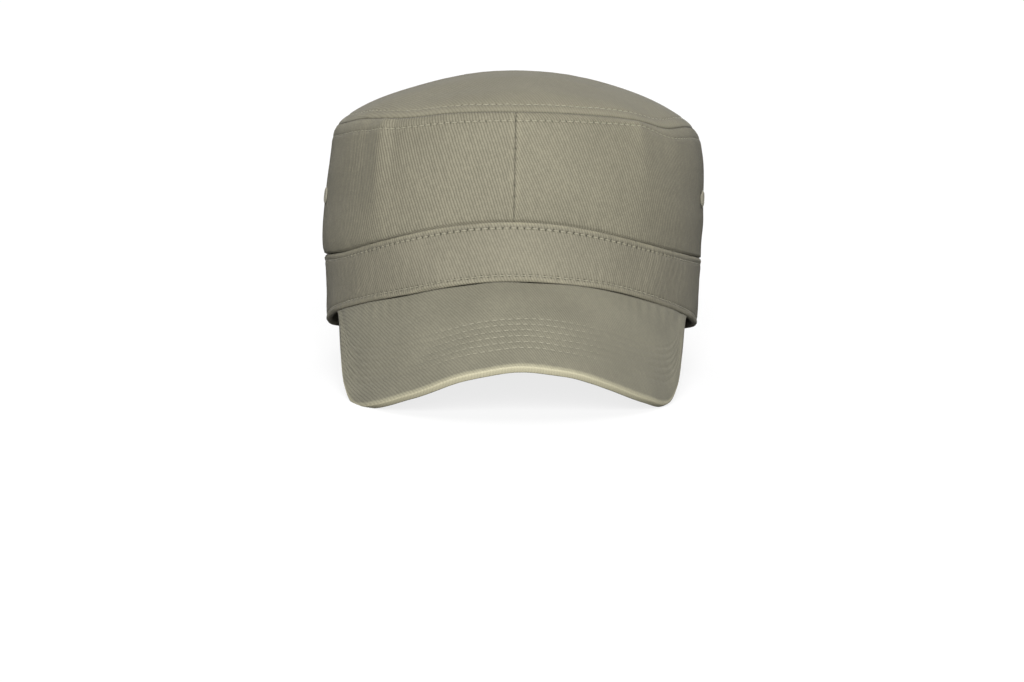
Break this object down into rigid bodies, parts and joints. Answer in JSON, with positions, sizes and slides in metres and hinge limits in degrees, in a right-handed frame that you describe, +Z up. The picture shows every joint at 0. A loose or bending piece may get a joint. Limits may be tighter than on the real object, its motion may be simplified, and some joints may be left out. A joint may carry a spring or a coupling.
{
  "type": "army cap",
  "caption": "Soft cotton army cap with a domed oval top, upright side panels with air eyelets, a deep band and a stiff curved peak, worn to cover the head and shade the eyes.",
  "frame": {"origin": "centre of the bounding box's base, on the surface that the cap rests on", "axes": "+Z up, -Y the way the peak points, +X to the right as seen from in front of the peak"},
  "size_m": [0.1706, 0.2714, 0.1346],
  "materials": {
    "twill": "olive cotton twill, matt",
    "band_twill": "olive cotton twill, doubled, matt",
    "peak_twill": "olive cotton twill over a stiff board, matt",
    "thread": "olive sewing thread, satin"
  },
  "bodies": {
    "root": {"top_panel": "twill", "side_panel_left": "twill", "side_panel_right": "twill", "band": "band_twill", "peak": "peak_twill", "eyelet_left": "thread", "eyelet_right": "thread"}
  },
  "joints": []
}
